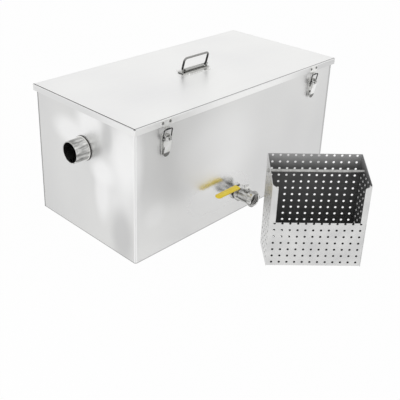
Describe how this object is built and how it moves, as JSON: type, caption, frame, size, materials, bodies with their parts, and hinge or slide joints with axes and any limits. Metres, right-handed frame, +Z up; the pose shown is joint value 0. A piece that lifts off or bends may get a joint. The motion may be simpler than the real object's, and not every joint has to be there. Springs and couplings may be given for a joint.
{
  "type": "grease trap",
  "caption": "Rectangular stainless grease trap with pipe stubs on both ends, lift-off latched lid with bail handle, baffles inside, drain ball valve and perforated strainer basket.",
  "frame": {"origin": "centre of the tank's underside, on the floor", "axes": "+X along the tank from the inlet end to the outlet end, -Y towards the side with the drain valve, +Z up"},
  "size_m": [0.884, 0.809, 0.423],
  "materials": {
    "stainless_sheet": "bright satin stainless sheet",
    "pipe_steel": "drawn stainless pipe, lightly brushed",
    "valve_steel": "cast stainless, machined hexagons",
    "pressed_steel": "bright pressed steel",
    "wire_steel": "drawn steel wire",
    "gasket_rubber": "matte black rubber strip",
    "seat_plastic": "white sealing plastic",
    "sleeve_vinyl": "yellow dipped vinyl",
    "basket_steel": "perforated stainless sheet"
  },
  "bodies": {
    "tank": {"tank_wall": "stainless_sheet", "tank_floor": "stainless_sheet", "rim_frame": "stainless_sheet", "lid_gasket": "gasket_rubber", "inlet_stub": "pipe_steel", "outlet_stub": "pipe_steel", "outlet_dip_leg": "pipe_steel", "inlet_baffle": "stainless_sheet", "outlet_baffle": "stainless_sheet", "drain_nipple": "pipe_steel", "valve_body": "valve_steel", "valve_end_piece": "valve_steel", "valve_seats": "seat_plastic", "stem_packing": "seat_plastic", "gland_nut": "valve_steel", "latch_base_front_left": "pressed_steel", "latch_base_front_right": "pressed_steel", "latch_base_back_left": "pressed_steel", "latch_base_back_right": "pressed_steel", "latch_base_rivets": "pressed_steel", "latch_pin_front_left": "pressed_steel", "latch_pin_front_right": "pressed_steel", "latch_pin_back_left": "pressed_steel", "latch_pin_back_right": "pressed_steel", "basket_wrap": "basket_steel", "basket_side_left": "basket_steel", "basket_side_right": "basket_steel", "basket_rod": "basket_steel"},
    "lid": {"lid_pan": "stainless_sheet", "lid_skirt_front": "stainless_sheet", "lid_skirt_back": "stainless_sheet", "lid_skirt_left": "stainless_sheet", "lid_skirt_right": "stainless_sheet", "handle_base": "pressed_steel", "handle_rivets": "pressed_steel", "keeper_front_left": "pressed_steel", "keeper_front_right": "pressed_steel", "keeper_back_left": "pressed_steel", "keeper_back_right": "pressed_steel", "keeper_rivets": "pressed_steel"},
    "lid_bail": {"handle_bail": "wire_steel"},
    "valve_handle": {"valve_ball": "pressed_steel", "valve_stem": "pressed_steel", "valve_lever": "pressed_steel", "lever_sleeve": "sleeve_vinyl", "lever_nut": "pressed_steel"},
    "latch_lever_front_left": {"latch_lever_front_left": "pressed_steel"},
    "latch_loop_front_left": {"latch_loop_front_left": "wire_steel"},
    "latch_lever_front_right": {"latch_lever_front_right": "pressed_steel"},
    "latch_loop_front_right": {"latch_loop_front_right": "wire_steel"},
    "latch_lever_back_left": {"latch_lever_back_left": "pressed_steel"},
    "latch_loop_back_left": {"latch_loop_back_left": "wire_steel"},
    "latch_lever_back_right": {"latch_lever_back_right": "pressed_steel"},
    "latch_loop_back_right": {"latch_loop_back_right": "wire_steel"}
  },
  "joints": [
    {"name": "lid_lift", "type": "slide", "parent": "tank", "child": "lid", "axis": [0, 0, 1], "range_m": [0, 0.25]},
    {"name": "bail_fold", "type": "hinge", "parent": "lid", "child": "lid_bail", "pos_m": [0, 0, 0.38136], "axis": [-1, 0, 0], "range_deg": [0, 105]},
    {"name": "valve_turn", "type": "hinge", "parent": "tank", "child": "valve_handle", "pos_m": [-0.013, -0.232, 0.064], "axis": [0, 0, 1], "range_deg": [0, 90]},
    {"name": "latch_front_left_open", "type": "hinge", "parent": "tank", "child": "latch_lever_front_left", "pos_m": [-0.305, -0.209, 0.328], "axis": [-1, 0, 0], "range_deg": [0, 130]},
    {"name": "loop_front_left_swing", "type": "hinge", "parent": "latch_lever_front_left", "child": "latch_loop_front_left", "pos_m": [-0.305, -0.2078, 0.319], "axis": [-1, 0, 0], "range_deg": [-130, 0]},
    {"name": "latch_front_right_open", "type": "hinge", "parent": "tank", "child": "latch_lever_front_right", "pos_m": [0.295, -0.209, 0.328], "axis": [-1, 0, 0], "range_deg": [0, 130]},
    {"name": "loop_front_right_swing", "type": "hinge", "parent": "latch_lever_front_right", "child": "latch_loop_front_right", "pos_m": [0.295, -0.2078, 0.319], "axis": [-1, 0, 0], "range_deg": [-130, 0]},
    {"name": "latch_back_left_open", "type": "hinge", "parent": "tank", "child": "latch_lever_back_left", "pos_m": [-0.295, 0.209, 0.328], "axis": [1, 0, 0], "range_deg": [0, 130]},
    {"name": "loop_back_left_swing", "type": "hinge", "parent": "latch_lever_back_left", "child": "latch_loop_back_left", "pos_m": [-0.295, 0.2078, 0.319], "axis": [1, 0, 0], "range_deg": [-130, 0]},
    {"name": "latch_back_right_open", "type": "hinge", "parent": "tank", "child": "latch_lever_back_right", "pos_m": [0.305, 0.209, 0.328], "axis": [1, 0, 0], "range_deg": [0, 130]},
    {"name": "loop_back_right_swing", "type": "hinge", "parent": "latch_lever_back_right", "child": "latch_loop_back_right", "pos_m": [0.305, 0.2078, 0.319], "axis": [1, 0, 0], "range_deg": [-130, 0]}
  ],
  "couplings": [
    {"joint": "loop_front_left_swing", "follows": "latch_front_left_open", "ratio": -1},
    {"joint": "loop_front_right_swing", "follows": "latch_front_right_open", "ratio": -1},
    {"joint": "loop_back_left_swing", "follows": "latch_back_left_open", "ratio": -1},
    {"joint": "loop_back_right_swing", "follows": "latch_back_right_open", "ratio": -1}
  ]
}
